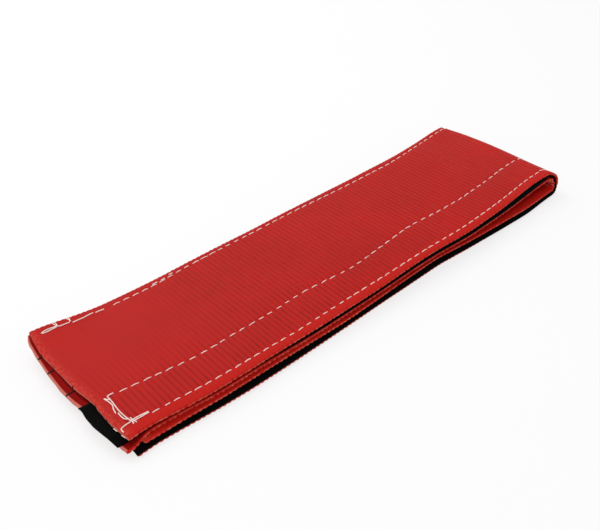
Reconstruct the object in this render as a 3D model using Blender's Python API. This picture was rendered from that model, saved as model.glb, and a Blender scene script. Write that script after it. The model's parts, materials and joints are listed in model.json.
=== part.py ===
"""A webbing wear sleeve, folded in half end to end.

Two wide webbing panels lie face to face. They are sewn together along one long edge and closed along the other with a
hook strip and a loop strip. Metres, +Z up, +X towards the fold, +Y towards the sewn edge. Every piece is cut flat and
then laid along one folded route: under, round the bend and back over.
"""

import math

import bmesh
import bpy
import numpy as np
from mathutils import Matrix, Vector

# Webbing panels
PANEL_WIDTH = 0.150
PANEL_THICK = 0.0023
FOLDED_LENGTH = 0.508  # from the upper outer panel's cut end to the fold
PANEL_FINISH = ((0.503, 0.029, 0.027), 0.5)  # colour and roughness

# Hook and loop strips
STRIP_WIDTH = 0.050
STRIP_THICK = 0.0010
STRIP_INSET = 0.008  # from the closure edge of the panel to the strip
STRIP_FINISH = ((0.003, 0.003, 0.0025), 0.95)

# Sewing
THREAD_RADIUS = 0.0005
THREAD_COVER = 0.00005  # how far the thread lies under the webbing's face
SEAM_INSET = 0.0055  # from the sewn edge to the edge seam
ROW_INSET_NEAR = 0.005  # from the strip's edge beside the closure edge to the first row
ROW_INSET_FAR = 0.0115  # from the strip's other edge to the second row
ROW_END = 0.012  # from a panel's cut end to where its rows start
GROOVE_WALL = 0.0003  # how wide each sloping wall of a stitch groove is
THREAD_FINISH = ((0.89, 0.78, 0.74), 0.6)

# How the folded sleeve lies
LAYER_GAP = 0.0003
HALVES_GAP_NEAR = 0.0006  # between the two inner panels at the free ends, at the closure edge
HALVES_GAP_FAR = 0.0019  # the same at the sewn edge, which the stiff webbing bridges
LOOP_HEIGHT_NEAR = 0.024  # the fold at the closure edge, over its outer faces
LOOP_HEIGHT_FAR = 0.017  # the fold at the sewn edge
LOOP_RUN = 0.400  # how far from the bend the fold settles to the stack's height
UPPER_INNER_REACH = 0.007  # how far the inner panel's upper end sticks out
LOWER_OUTER_BACK = 0.0035  # how far the outer panel's lower end lies behind
LOWER_INNER_BACK = 0.012
LOWER_OUTER_DRIFT = 0.006  # how far each free end has drifted sideways, past the closure edge
LOWER_INNER_DRIFT = 0.0013
UPPER_INNER_DRIFT = 0.004
EDGE_BOW = 0.002  # how far the long edges bow towards the closure side, half way along
FLARE = 0.007  # how far the upper end's corner over the sewn edge lifts
FLARE_RUN = 0.070
FOLD_PIECE = 0.045  # the outer panel's length, beside the bend, that stays with the inner panel when it is peeled

# Grid spacing
STRAIGHT_STEP = 0.050
SETTLING_STEP = 0.030
FLARE_STEP = 0.014
ACROSS_STEP = 0.024
BEND_STEP = 1 / 12  # of the half turn
BEND_SPLIT = 0.25  # where the bend's middle piece starts and ends, as a share of the half turn
LATERAL_SAMPLES = 601
GRID_SLACK = 1e-6  # for comparing grid lines

COLLECTION = "wear_sleeve"
PIVOT_SIZE = 0.020

# Places that follow from the sizes
HALF_WIDTH = PANEL_WIDTH / 2
FOLD_X = (FOLDED_LENGTH + UPPER_INNER_REACH) / 2
END_X = FOLD_X - FOLDED_LENGTH
STRAIGHT = FOLDED_LENGTH - LOOP_HEIGHT_NEAR / 2
STRIP_NEAR = -HALF_WIDTH + STRIP_INSET
STRIP_FAR = STRIP_NEAR + STRIP_WIDTH
SEAM_ROW = HALF_WIDTH - SEAM_INSET
STRIP_ROWS = (STRIP_NEAR + ROW_INSET_NEAR, STRIP_FAR - ROW_INSET_FAR)
GROOVE_HALF = THREAD_RADIUS + LAYER_GAP
GROOVE_DEPTH = 2 * THREAD_RADIUS + THREAD_COVER + LAYER_GAP
THREAD_DEPTH = THREAD_RADIUS + THREAD_COVER
HOOK_DEPTH = PANEL_THICK + LAYER_GAP
LOOP_DEPTH = HOOK_DEPTH + STRIP_THICK + LAYER_GAP

# The route's places, counted from 0 at the lower end
ROUTE = ("lower end", "bend start", "bend stop", "upper end")
BEND_START = ROUTE.index("bend start")
BEND_STOP = ROUTE.index("bend stop")
ROUTE_END = ROUTE.index("upper end")
BEND_TOP = (BEND_START + BEND_STOP) / 2
BEND_LOWER = BEND_START + BEND_SPLIT
BEND_UPPER = BEND_STOP - BEND_SPLIT
PEEL_LOWER = BEND_START - FOLD_PIECE / STRAIGHT
PEEL_UPPER = BEND_STOP + FOLD_PIECE / STRAIGHT
CUT_ENDS = {
    "outer": (LOWER_OUTER_BACK / STRAIGHT, ROUTE_END),
    "inner": (LOWER_INNER_BACK / STRAIGHT, ROUTE_END + UPPER_INNER_REACH / STRAIGHT),
}
DRIFTS = {
    "outer": (LOWER_OUTER_DRIFT, 0.0),
    "inner": (LOWER_INNER_DRIFT, UPPER_INNER_DRIFT),
}


def clamp(value):
    return min(1.0, max(0.0, value))


def smooth(value):
    value = clamp(value)
    return value * value * (3 - 2 * value)


def share_along(u):
    """0 at the free ends and 1 all round the bend."""
    return min(u, ROUTE_END - u, 1.0)


def lateral(panel, u):
    """How far a panel lies off its straight line, towards the closure side."""
    share = share_along(u)
    drift = DRIFTS[panel][0 if u < BEND_TOP else 1]
    return drift * (1 - share) + 4 * EDGE_BOW * share * (1 - share)


def widest_lateral():
    return max(lateral(panel, u) for panel in DRIFTS for u in np.linspace(0, ROUTE_END, LATERAL_SAMPLES))


SIDE_SHIFT = widest_lateral() / 2


def loop_height(y):
    return LOOP_HEIGHT_NEAR + (LOOP_HEIGHT_FAR - LOOP_HEIGHT_NEAR) * (y + HALF_WIDTH) / PANEL_WIDTH


def spread(y):
    """1 where the strips hold the panels apart, falling to 0 at the sewn edge."""
    return 1 - clamp((y - STRIP_FAR) / (HALF_WIDTH - STRIP_FAR))


def inner_depth(y):
    """From the outer panel's outside face to the inner panel."""
    return PANEL_THICK + LAYER_GAP + spread(y) * 2 * (STRIP_THICK + LAYER_GAP)


def stack_height(y):
    """All the layers, where the folded halves lie on each other."""
    halves_gap = HALVES_GAP_NEAR + (HALVES_GAP_FAR - HALVES_GAP_NEAR) * (y + HALF_WIDTH) / PANEL_WIDTH
    return 2 * (inner_depth(y) + PANEL_THICK) + halves_gap


def top_height(run, y):
    """The upper face, at a distance from the bend."""
    settled = stack_height(y)
    return settled + (loop_height(y) - settled) * (1 - smooth(run / LOOP_RUN))


def flare(panel, u, y):
    """The upper outer end lifts off the inner panel at the sewn edge."""
    if panel != "outer":
        return 0.0
    near_end = smooth(1 - (ROUTE_END - u) * STRAIGHT / FLARE_RUN)
    return FLARE * near_end * smooth((y - STRIP_FAR) / (HALF_WIDTH - STRIP_FAR))


def place(panel, u, y, depth):
    """A point of the flat cut, laid on the route: depth is measured in from the outer panel's outside face."""
    radius = loop_height(y) / 2
    bend_x = FOLD_X - radius
    x = END_X + share_along(u) * (bend_x - END_X)
    z = depth
    if BEND_START < u < BEND_STOP:
        turn = (u - BEND_START) * math.pi
        x = bend_x + (radius - depth) * math.sin(turn)
        z = radius - (radius - depth) * math.cos(turn)
    elif u >= BEND_STOP:
        z = top_height(bend_x - x, y) - depth + flare(panel, u, y)
    return Vector((x, y - lateral(panel, u) + SIDE_SHIFT, z))


def from_cut_end(panel, u):
    """The distance from the panel's nearer cut end."""
    lower, upper = CUT_ENDS[panel]
    return STRAIGHT * (u - lower if u < BEND_TOP else upper - u)


def in_groove(panel, u, y):
    """Whether a grid point lies in a groove that the stitching has drawn into the webbing."""
    half = GROOVE_HALF + GRID_SLACK
    inside = from_cut_end(panel, u) - ROW_END
    if inside < -half:
        return False
    if any(abs(y - row) <= half for row in (SEAM_ROW, *STRIP_ROWS)):
        return True
    return abs(inside) <= half and STRIP_ROWS[0] - half <= y <= STRIP_ROWS[1] + half


def merged(base, kept, near):
    """Evenly spaced lines with the kept ones added, and none of the even ones left close beside them."""
    free = [b for b in base[1:-1] if all(abs(b - k) > near for k in kept)]
    ends = [base[0], base[-1]]
    kept = [k for k in kept if ends[0] + GRID_SLACK < k < ends[1] - GRID_SLACK]
    return sorted(ends + free + kept)


def stations(panel, start, stop):
    """Grid lines along the route, closer where it bends, settles or holds a groove."""
    flare_start = ROUTE_END - FLARE_RUN / STRAIGHT
    stretches = [
        (start, BEND_START, STRAIGHT_STEP / STRAIGHT),
        (BEND_START, BEND_STOP, BEND_STEP),
        (BEND_STOP, flare_start, SETTLING_STEP / STRAIGHT),
        (flare_start, stop, FLARE_STEP / STRAIGHT),
    ]
    base = [start]
    for low, high, step in stretches:
        low, high = max(low, start), min(high, stop)
        if high > low:
            base += list(np.linspace(low, high, max(1, round((high - low) / step)) + 1))[1:]
    lower, upper = CUT_ENDS[panel]
    offsets = [ROW_END + k for k in groove_lines()]
    kept = [lower + k / STRAIGHT for k in offsets] + [upper - k / STRAIGHT for k in offsets]
    kept = [k for k in kept if start < k < stop]
    return merged(base, kept, GROOVE_HALF / STRAIGHT)


def groove_lines():
    half, outside = GROOVE_HALF, GROOVE_HALF + GROOVE_WALL
    return (-outside, -half, half, outside)


def across(low, high):
    """Grid lines across the width."""
    base = list(np.linspace(low, high, max(1, round((high - low) / ACROSS_STEP)) + 1))
    rows = [row + k for row in (SEAM_ROW, *STRIP_ROWS) for k in groove_lines()]
    return merged(base, rows + [STRIP_FAR], GROOVE_HALF)


def slab(panel, us, ys, outside, inside):
    """A flat grid with a thickness, laid on the route. outside and inside give the depth of its two faces."""
    bm = bmesh.new()
    bmesh.ops.create_grid(bm, x_segments=len(us) - 1, y_segments=len(ys) - 1, size=1.0)
    grown = bmesh.ops.extrude_face_region(bm, geom=bm.faces[:], use_keep_orig=True)["geom"]
    for vert in grown:
        if isinstance(vert, bmesh.types.BMVert):
            vert.co.z = 1.0
    for vert in bm.verts:
        u = us[round((vert.co.x + 1) / 2 * (len(us) - 1))]
        y = ys[round((vert.co.y + 1) / 2 * (len(ys) - 1))]
        face = inside if vert.co.z > 0.5 else outside
        vert.co = place(panel, u, y, face(u, y))
    bmesh.ops.recalc_face_normals(bm, faces=bm.faces[:])
    if bm.calc_volume(signed=True) < 0:
        bmesh.ops.reverse_faces(bm, faces=bm.faces[:])
    mesh = bpy.data.meshes.new("slab")
    bm.to_mesh(mesh)
    bm.free()
    return mesh


def outer_panel(start, stop):
    return slab(
        "outer",
        stations("outer", start, stop),
        across(-HALF_WIDTH, HALF_WIDTH),
        lambda u, y: GROOVE_DEPTH if in_groove("outer", u, y) else 0.0,
        lambda u, y: PANEL_THICK,
    )


def inner_panel(start, stop):
    return slab(
        "inner",
        stations("inner", start, stop),
        across(-HALF_WIDTH, HALF_WIDTH),
        lambda u, y: inner_depth(y),
        lambda u, y: inner_depth(y) + PANEL_THICK - (GROOVE_DEPTH if in_groove("inner", u, y) else 0.0),
    )


def strip(panel, depth, start, stop):
    ys = list(np.linspace(STRIP_NEAR, STRIP_FAR, 3))
    return slab(panel, stations(panel, start, stop), ys, lambda u, y: depth, lambda u, y: depth + STRIP_THICK)


def hook_strip(start, stop):
    return strip("outer", HOOK_DEPTH, start, stop)


def loop_strip(start, stop):
    return strip("inner", LOOP_DEPTH, start, stop)


def thread(panel, path):
    """A round thread along points of the flat cut, just under the face that it is sewn through."""
    curve = bpy.data.curves.new("thread", "CURVE")
    curve.dimensions = "3D"
    curve.bevel_depth = THREAD_RADIUS
    curve.bevel_resolution = 1
    curve.use_fill_caps = True
    line = curve.splines.new("POLY")
    line.points.add(len(path) - 1)
    for point, (u, y) in zip(line.points, path):
        depth = THREAD_DEPTH if panel == "outer" else inner_depth(y) + PANEL_THICK - THREAD_DEPTH
        point.co = (*place(panel, u, y, depth), 1.0)
    return curve


def row(panel, y, start, stop):
    """One straight row, from wherever it starts inside the panel's cut ends."""
    lower, upper = CUT_ENDS[panel]
    start, stop = max(start, lower + ROW_END / STRAIGHT), min(stop, upper - ROW_END / STRAIGHT)
    return thread(panel, [(u, y) for u in stations(panel, start, stop)])


def box_end(panel, start, stop):
    """Both rows of a strip's stitching, joined by a row across the strip beside the panel's cut end."""
    lower, upper = CUT_ENDS[panel]
    start, stop = max(start, lower + ROW_END / STRAIGHT), min(stop, upper - ROW_END / STRAIGHT)
    us = stations(panel, start, stop)
    if stop > BEND_STOP:
        us = us[::-1]
    there = [(u, STRIP_ROWS[0]) for u in reversed(us)]
    back = [(u, STRIP_ROWS[1]) for u in us]
    return thread(panel, there + back)


def edge_seam(start, stop):
    return row("outer", SEAM_ROW, start, stop)


def edge_seam_back(start, stop):
    return row("inner", SEAM_ROW, start, stop)


def material(name, colour, roughness):
    made = bpy.data.materials.new(name)
    made.use_nodes = True
    shader = made.node_tree.nodes["Principled BSDF"]
    shader.inputs["Base Color"].default_value = (*colour, 1.0)
    shader.inputs["Roughness"].default_value = roughness
    shader.inputs["Metallic"].default_value = 0.0
    return made


def add(collection, pivot, name, data, finish):
    """One named piece, on the pivot of the body that carries it."""
    made = bpy.data.objects.new(name, data)
    collection.objects.link(made)
    data.materials.append(material(name, *finish))
    made.parent = pivot
    made.matrix_parent_inverse = Matrix.Translation(-Vector(pivot["at"]))
    return made


def pivots(collection):
    """The chain of joint axes, from the panel that lies on the ground to the one that is peeled off the top."""
    sewn_y = HALF_WIDTH + SIDE_SHIFT
    hinge_gap = LAYER_GAP / 2
    lower_z = PANEL_THICK + hinge_gap
    upper_z = stack_height(HALF_WIDTH) - PANEL_THICK - hinge_gap
    places = [
        ("lower_outer_origin", (0.0, 0.0, 0.0)),
        ("closure_lower_axis", (0.0, sewn_y, lower_z)),
        ("fold_lower_axis", (FOLD_X, 0.0, 0.0)),
        ("fold_upper_axis", (FOLD_X, 0.0, LOOP_HEIGHT_NEAR)),
        ("closure_upper_axis", (0.0, sewn_y, upper_z)),
    ]
    chain, before = [], None
    for name, at in places:
        empty = bpy.data.objects.new(name, None)
        empty.empty_display_size = PIVOT_SIZE
        empty["at"] = at
        collection.objects.link(empty)
        empty.location = at
        if before is not None:
            empty.parent = before
            empty.matrix_parent_inverse = Matrix.Translation(-Vector(before["at"]))
        chain.append(empty)
        before = empty
    return chain


def spans(panel, body_stretches):
    """Each body's stretch of a panel, with a gap left where two stretches meet."""
    lower, upper = CUT_ENDS[panel]
    edges = (-HALF_WIDTH, STRIP_FAR, HALF_WIDTH)
    smallest = min(loop_height(y) / 2 - inner_depth(y) - PANEL_THICK for y in edges)
    bend_gap = LAYER_GAP / 2 / (math.pi * smallest)
    straight_gap = LAYER_GAP / 2 / STRAIGHT
    for part, start, stop in body_stretches:
        low = start + (bend_gap if BEND_START < start < BEND_STOP else straight_gap) if start > lower else lower
        high = stop - (bend_gap if BEND_START < stop < BEND_STOP else straight_gap) if stop < upper else upper
        yield part, low, high


def sew_strip(collection, pivot, panel, name, start, stop):
    """A stretch with a cut end has both rows as one thread; round the bend each row is its own."""
    if start in CUT_ENDS[panel] or stop in CUT_ENDS[panel]:
        add(collection, pivot, name, box_end(panel, start, stop), THREAD_FINISH)
        return
    for side, y in zip(("near", "far"), STRIP_ROWS):
        add(collection, pivot, f"{name}_{side}", row(panel, y, start, stop), THREAD_FINISH)


def main():
    for old in list(bpy.data.objects):
        bpy.data.objects.remove(old, do_unlink=True)
    collection = bpy.data.collections.new(COLLECTION)
    bpy.context.scene.collection.children.link(collection)
    lower_outer, lower_inner, fold_link, upper_inner, upper_outer = pivots(collection)

    outer_stretches = [
        (("lower", lower_outer), CUT_ENDS["outer"][0], PEEL_LOWER),
        (("fold_lower", lower_inner), PEEL_LOWER, BEND_LOWER),
        (("fold_middle", fold_link), BEND_LOWER, BEND_UPPER),
        (("fold_upper", upper_inner), BEND_UPPER, PEEL_UPPER),
        (("upper", upper_outer), PEEL_UPPER, CUT_ENDS["outer"][1]),
    ]
    inner_stretches = [
        (("lower", lower_inner), CUT_ENDS["inner"][0], BEND_LOWER),
        (("fold_middle", fold_link), BEND_LOWER, BEND_UPPER),
        (("upper", upper_inner), BEND_UPPER, CUT_ENDS["inner"][1]),
    ]
    for (part, pivot), start, stop in spans("outer", outer_stretches):
        add(collection, pivot, f"outer_panel_{part}", outer_panel(start, stop), PANEL_FINISH)
        add(collection, pivot, f"hook_strip_{part}", hook_strip(start, stop), STRIP_FINISH)
        add(collection, pivot, f"edge_seam_thread_{part}", edge_seam(start, stop), THREAD_FINISH)
        sew_strip(collection, pivot, "outer", f"hook_stitching_{part}", start, stop)
    for (part, pivot), start, stop in spans("inner", inner_stretches):
        add(collection, pivot, f"inner_panel_{part}", inner_panel(start, stop), PANEL_FINISH)
        add(collection, pivot, f"loop_strip_{part}", loop_strip(start, stop), STRIP_FINISH)
        add(collection, pivot, f"edge_seam_back_thread_{part}", edge_seam_back(start, stop), THREAD_FINISH)
        sew_strip(collection, pivot, "inner", f"loop_stitching_{part}", start, stop)


main()
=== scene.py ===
"""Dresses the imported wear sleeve: ribbed webbing panels, hook and loop tape, sewn rows, and a plain studio.

The sleeve is two webbing panels sewn along one long edge and closed by hook and loop tape along the other.
It lies folded end to end, so each panel is followed along a route: from its lower cut end, round the bend,
to its upper end.
"""
import json
import math

import bpy
import numpy as np
from mathutils import Matrix, Vector


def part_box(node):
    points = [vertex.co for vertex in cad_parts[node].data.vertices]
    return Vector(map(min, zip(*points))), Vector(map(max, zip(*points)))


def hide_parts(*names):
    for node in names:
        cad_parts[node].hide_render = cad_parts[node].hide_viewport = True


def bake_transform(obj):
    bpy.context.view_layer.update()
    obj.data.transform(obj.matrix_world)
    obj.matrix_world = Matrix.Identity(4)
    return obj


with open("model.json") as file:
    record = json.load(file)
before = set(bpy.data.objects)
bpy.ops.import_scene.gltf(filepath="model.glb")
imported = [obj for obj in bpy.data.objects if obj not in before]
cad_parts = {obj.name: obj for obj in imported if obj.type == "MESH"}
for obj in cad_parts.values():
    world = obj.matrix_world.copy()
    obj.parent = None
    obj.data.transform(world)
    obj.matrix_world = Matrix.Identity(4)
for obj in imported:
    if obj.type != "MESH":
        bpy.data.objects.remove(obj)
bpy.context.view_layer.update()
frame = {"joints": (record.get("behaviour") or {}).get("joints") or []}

JOINTS = {joint["name"]: joint for joint in frame["joints"]}

bl_info = {
    "name": "Wear sleeve looks",
    "version": (1, 0, 0),
    "blender": (4, 5, 0),
    "location": "3D View > Sidebar > Wear sleeve",
    "description": "Webbing, hook and loop tape, stitches and a plain studio for a folded wear sleeve",
    "category": "Object",
}

# Places along the route of a panel, which starts at 0 at the lower cut end and stops at the upper one.
BEND_START = 1
BEND_TOP = 1.5
BEND_STOP = 2
ROUTE_END = 3
HALVES = ("lower", "upper")

# The webbing panel that each layer belongs to.
PANEL_OF = {"outer": "outer", "hook": "outer", "inner": "inner", "loop": "inner"}

# Where the folded sleeve lies, read from the frame.
FOLD_X = JOINTS["fold_lower"]["pos_m"][0]
END_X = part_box("outer_panel_upper")[0].x
LOOP_HEIGHT_NEAR = JOINTS["fold_upper"]["pos_m"][2] - JOINTS["fold_lower"]["pos_m"][2]

# The bend's height at the sewn edge, how far the upper half slopes down from the bend, the gap between the
# halves at the free edge and at the sewn edge, and the gap between two layers of a half.
LOOP_HEIGHT_FAR = 0.017
LOOP_RUN = 0.400
GAP_NEAR = 0.0006
GAP_FAR = 0.0019
LAYER_GAP = 0.0003

# Metres of each panel that lie in the bend.
BEND_LENGTH = {"outer": 0.0322, "inner": 0.0160}

# The bow of the panels' edges, and how far the sleeve lies from the middle of the frame.
EDGE_BOW = 0.002
SIDE_SHIFT = 0.0030624

# A panel's edges wander: millimetres along the sleeve, and there how far the edge lies towards the closure.
FREE_EDGE_AT = (-255, -230, -200, -170, -140, -100, -40, 0, 40, 80, 120, 160, 200, 225, 245)
FREE_EDGE = {
    ("outer", "upper"): (-0.1, -2.0, 0.2, 1.6, 1.7, 0.1, 0.5, 0.2, -0.6, -1.2, 0.5, -1.0, -3.9, -6.1, -6.4),
    ("inner", "upper"): (3.1, -2.0, -1.4, 1.0, 0.7, 0.0, 0.0, -0.7, -1.1, -1.6, 0.4, -0.4, -2.0, -3.8, -4.6),
    ("inner", "lower"): (3.3, 3.5, 3.3, 4.1, 3.4, 2.8, 2.8, 0.5, -2.0, -3.8, -0.6, 1.0, 2.3, 1.3, 0.0),
    ("outer", "lower"): (6.9, 4.7, 5.7, 7.0, 7.1, 5.9, 3.4, 1.6, 0.2, -1.4, 0.8, 1.8, 2.6, 0.9, 0.0),
}
SEWN_EDGE_AT = (-240, -225, -195, -165, -150, -120, -100, -60, 0, 30, 75, 105, 150, 180, 200, 215, 245)
SEWN_EDGE = {
    "upper": (-1.5, -0.8, -0.5, 0.7, 0.8, -0.2, -0.9, 0.0, 1.0, 1.7, 1.1, 2.5, 3.2, 2.7, 1.4, -0.7, -2.0),
    "lower": (3.0, 2.9, 2.7, 2.5, 2.4, 2.2, 2.1, 1.8, 1.4, 1.2, 1.0, 0.8, 0.6, 0.4, 0.3, 0.2, 0.0),
}

# The rows of stitches: millimetres along the sleeve, and there the row's place across the panel.
ROWS = {
    "near": ((-250, -225, -200, -160, -130, -90, -50, 0, 50, 80, 120, 160, 210, 245),
             (-66.6, -66.0, -65.3, -66.0, -66.8, -67.6, -66.5, -66.6, -68.3, -68.4, -67.5, -66.9, -65.8,
              -65.0)),
    "far": ((-250, -205, -165, -130, -100, -50, 0, 50, 90, 120, 150, 190, 245),
            (-29.4, -33.1, -35.8, -35.1, -36.1, -32.8, -38.8, -34.7, -31.4, -32.1, -34.2, -34.1, -32.5)),
    "seam": ((-250, -135, -110, -45, 30, 70, 150, 185, 245),
             (67.7, 67.4, 69.3, 69.7, 69.3, 67.8, 67.2, 69.0, 69.5)),
}

# The tapes lie nearer the free edge than their inset says, by these millimetres.
TAPE_SHIFT = {
    ("hook", "upper"): ((-255, -235, -215, -190, -140, -60, 245), (8.0, 7.8, 6.6, 5.5, 7.3, 8.0, 8.4)),
    ("hook", "lower"): ((-255, -200, 120, 150, 210, 245), (9.0, 9.0, 8.6, 9.6, 9.9, 9.0)),
    ("loop", "upper"): ((-258, -250, -240, -190, -140, -60, 245), (1.0, 2.5, 5.2, 5.2, 6.8, 7.8, 8.2)),
    ("loop", "lower"): ((-255, 245), (6.5, 7.4)),
}

# Beside the free edge the webbing is thinner by these millimetres, and the tape dips there.
THIN_AT = (-255, -140, -60, 140, 245)
THIN = {
    ("outer", "upper"): (0.0, 0.3, 1.0, 1.2, 1.2),
    ("inner", "upper"): (0.0, 0.2, 0.9, 1.2, 1.2),
    ("inner", "lower"): (0.4, 0.4, 0.6, 0.6, 0.6),
    ("outer", "lower"): (0.6, 0.6, 0.9, 1.3, 1.3),
}

# The cuts of the upper ends aren't straight: millimetres across, and there how far the cut lies back. The
# webbing beside a cut follows it over the run.
UPPER_CUT = {
    "outer": ((-75, -62, -50, -35, -27, -20, -6, 15, 39, 55, 66, 75),
              (2.1, 0.9, -0.2, 0.5, 1.2, 0.0, -1.3, -2.1, -2.8, -2.6, -0.6, 0.8)),
    "inner": ((-75, -62, -42, -30, -22, -15, -5, 10, 38, 54, 66, 72, 75),
              (4.4, 2.0, -0.6, -0.4, 0.9, -0.6, -1.9, -2.2, -0.8, 1.0, 2.4, 4.2, 6.5)),
}
CUT_RUN = 0.030

# How plainly the ribs of the upper outer panel show: millimetres along the sleeve, and there thousandths of
# their height. Towards the cut end the coating is thick, and hides them but for the near half of the panel.
RIBS_SHOW = ((-255, -200, -150, -110, -20, 40, 110, 160, 245),
             (800, 900, 1100, 1500, 1500, 1200, 1100, 800, 800))

# The tapes stand out past these cuts, in metres.
TAPE_REACH = {("hook", "lower"): 0.0008, ("loop", "fold_upper"): 0.0022}

# Both upper ends turn up a little beside the sewn edge: how far, and over what run.
FLARE = 0.007
FLARE_RUN = 0.070

# Where the panels are cut, past or before the ends of the route, in metres.
LOWER_OUTER_BACK = 0.0035
LOWER_INNER_BACK = 0.012
UPPER_INNER_REACH = 0.007

# Swells round the bend: how much, then the place along the route where each starts and how long it rises, and
# the place where it stops and how long it falls.
EDGE_SWELL = (0.0026, 1.25, 0.5, 2.08, 0.2)
TAPE_SWELL = (0.0028, 1.25, 0.45, 2.1, 0.2)
THIN_FADE = (1, 1.2, 0.4, 2.06, 0.15)
SEAM_TUCK = (0.0042, 1.1, 0.2, 2.0, 0.15)
NOSE_BULGE = (0.0015, 1.2, 0.3, 2.2, 0.3)
SEAM_DRAW = (0.0018, 1.0, 0.6, 2.1, 0.2)

# Depth of the creases in the inner panel, and how wide and deep a row of stitches pulls the webbing in.
CREASE_DEPTH = 0.0038
LOW_CREASE_DEPTH = 0.0020
PINCH_WIDTH = 0.0022
PINCH_DEPTH = 0.00028

# How far in the selvedges of webbing and tape are rounded, how uneven a cut is, and how far from it the
# webbing is worn.
SELVEDGE = 0.0016
TAPE_SELVEDGE = 0.0005
CUT_UNEVEN = 0.0003
FRAY_REACH = 0.009

# Meshes: stations for each rib, spacing of stations on the tapes and on the web, lines across a tape and how
# far in from its edge one more lies, and lines across a panel, which are close together from and to these
# places beside the sewn rows.
STATIONS_PER_RIB = 8
TAPE_STEP = 0.003
WEB_STEP = 0.004
TAPE_LINES = 21
TAPE_EDGE_LINE = 0.0003
PLAIN_LINES = 17
CLOSE_LINES = ((0.0655, 0.0715), (-0.0395, -0.0270), (-0.0700, -0.0630))
CLOSE_STEP = 0.0012

# How far before the bend a panel starts to peel, and stops. Then where the cloth bends at the fold, measured
# from the lower pivot: half of each length goes outward and half up, and for the upper bend half of it inward
# and half up.
PEEL_RUN = (0.225, 0.020)
LOWER_BEND = (-0.016, 0.0036)
UPPER_BEND = (0.0195, 0.035)

# The floor lies just under the ribs and stitches of the lowest panel, and reaches this far to each side.
FLOOR_Z = -0.0009
FLOOR_REACH = 6.0

# Lamps that face the sleeve: name, place, side in metres, watts. Then the light from all round.
LAMPS = (("key", (0.0, 0.9, 1.5), 1.4, 13.8), ("fill", (-1.0, -0.9, 1.2), 1.2, 5.0))
WORLD_LIGHT = 0.58

# The photo's camera, fitted to the sleeve's outline: its place in metres, its turn in degrees, and its lens
# in millimetres.
CAMERA_PLACE = (-0.41944, -0.48466, 0.49378)
CAMERA_HEADING = -39.117
CAMERA_DOWN = 37.49
CAMERA_ROLL = -2.503
CAMERA_LENS = 52.882
CAMERA_SENSOR = 36.0


class SleeveSizes(bpy.types.PropertyGroup):
    """Sizes of the sleeve's webbing, tapes and thread."""

    panel_width: bpy.props.FloatProperty(
        name="Panel width", description="Width of the webbing", default=0.150, unit="LENGTH")
    panel_thickness: bpy.props.FloatProperty(
        name="Panel thickness", description="Thickness of the webbing", default=0.0023, unit="LENGTH")
    rib_pitch: bpy.props.FloatProperty(
        name="Rib pitch", description="Distance from one woven rib to the next",
        default=0.00465, unit="LENGTH")
    rib_height: bpy.props.FloatProperty(
        name="Rib height", description="How far a rib stands out", default=0.00024, unit="LENGTH")
    scallop: bpy.props.FloatProperty(
        name="Selvedge scallop", description="How far the weft loops stand out of the selvedge",
        default=0.0007, unit="LENGTH")
    strip_width: bpy.props.FloatProperty(
        name="Tape width", description="Width of the hook and of the loop tape", default=0.050, unit="LENGTH")
    strip_thickness: bpy.props.FloatProperty(
        name="Tape thickness", description="Thickness of the hook and of the loop tape",
        default=0.0010, unit="LENGTH")
    strip_inset: bpy.props.FloatProperty(
        name="Tape inset", description="Distance from the panel's free edge to the tape",
        default=0.008, unit="LENGTH")
    thread_width: bpy.props.FloatProperty(
        name="Thread width", description="Diameter of the sewing thread", default=0.0009, unit="LENGTH")
    near_pitch: bpy.props.FloatProperty(
        name="Near row pitch", description="Distance between stitches of the row beside the free edge",
        default=0.0091, unit="LENGTH")
    far_pitch: bpy.props.FloatProperty(
        name="Far row pitch", description="Distance between stitches of the tape's other row",
        default=0.0099, unit="LENGTH")
    seam_pitch: bpy.props.FloatProperty(
        name="Seam pitch", description="Distance between stitches of the edge seam",
        default=0.0092, unit="LENGTH")
    stitch_length: bpy.props.FloatProperty(
        name="Stitch length", description="Length of the thread that shows in each stitch",
        default=0.0070, unit="LENGTH")


class SleeveColours(bpy.types.PropertyGroup):
    """Colours of the sleeve, as sRGB hex values."""

    webbing: bpy.props.StringProperty(
        name="Webbing", description="Coated face of the webbing", default="#BE1A13")
    webbing_deep: bpy.props.StringProperty(
        name="Webbing, deep", description="Darker parts of the coated face", default="#B0150F")
    # The inside face's own colour, darkened to paint the shade that lies between the layers.
    shaded_lining: bpy.props.StringProperty(
        name="Inside", description="Inside face of the webbing", default="#880504")
    selvedge: bpy.props.StringProperty(
        name="Selvedge", description="Woven edge of the webbing", default="#C41D14")
    cut_end: bpy.props.StringProperty(
        name="Cut end", description="Cut yarns at the ends of the panels", default="#DA8070")
    # Painted shade in the valleys between ribs.
    painted_groove_shade: bpy.props.StringProperty(
        name="Valley", description="Between two ribs of the webbing", default="#7E0C08")
    # Painted highlight along the rim of the selvedge.
    painted_rim_highlight: bpy.props.StringProperty(
        name="Rim", description="Outermost yarns of the selvedge", default="#DC6A58")
    # Coating whitened on the crease ridges, also a painted highlight there.
    crease: bpy.props.StringProperty(
        name="Crease", description="Coating whitened by a sharp crease", default="#EE9C90")
    tracer: bpy.props.StringProperty(
        name="Tracer", description="Stripes woven into the inside face", default="#141010")
    tape: bpy.props.StringProperty(
        name="Tape", description="Hook and loop tape", default="#040404")
    tape_nap: bpy.props.StringProperty(
        name="Tape nap", description="Tips of the hooks and loops", default="#090908")
    thread: bpy.props.StringProperty(
        name="Thread", description="Sewing thread", default="#FFF4EE")
    thread_deep: bpy.props.StringProperty(
        name="Thread, deep", description="Between the plies of the thread", default="#F0CCC0")
    floor: bpy.props.StringProperty(
        name="Floor", description="Studio floor", default="#FCFCFC")


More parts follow.
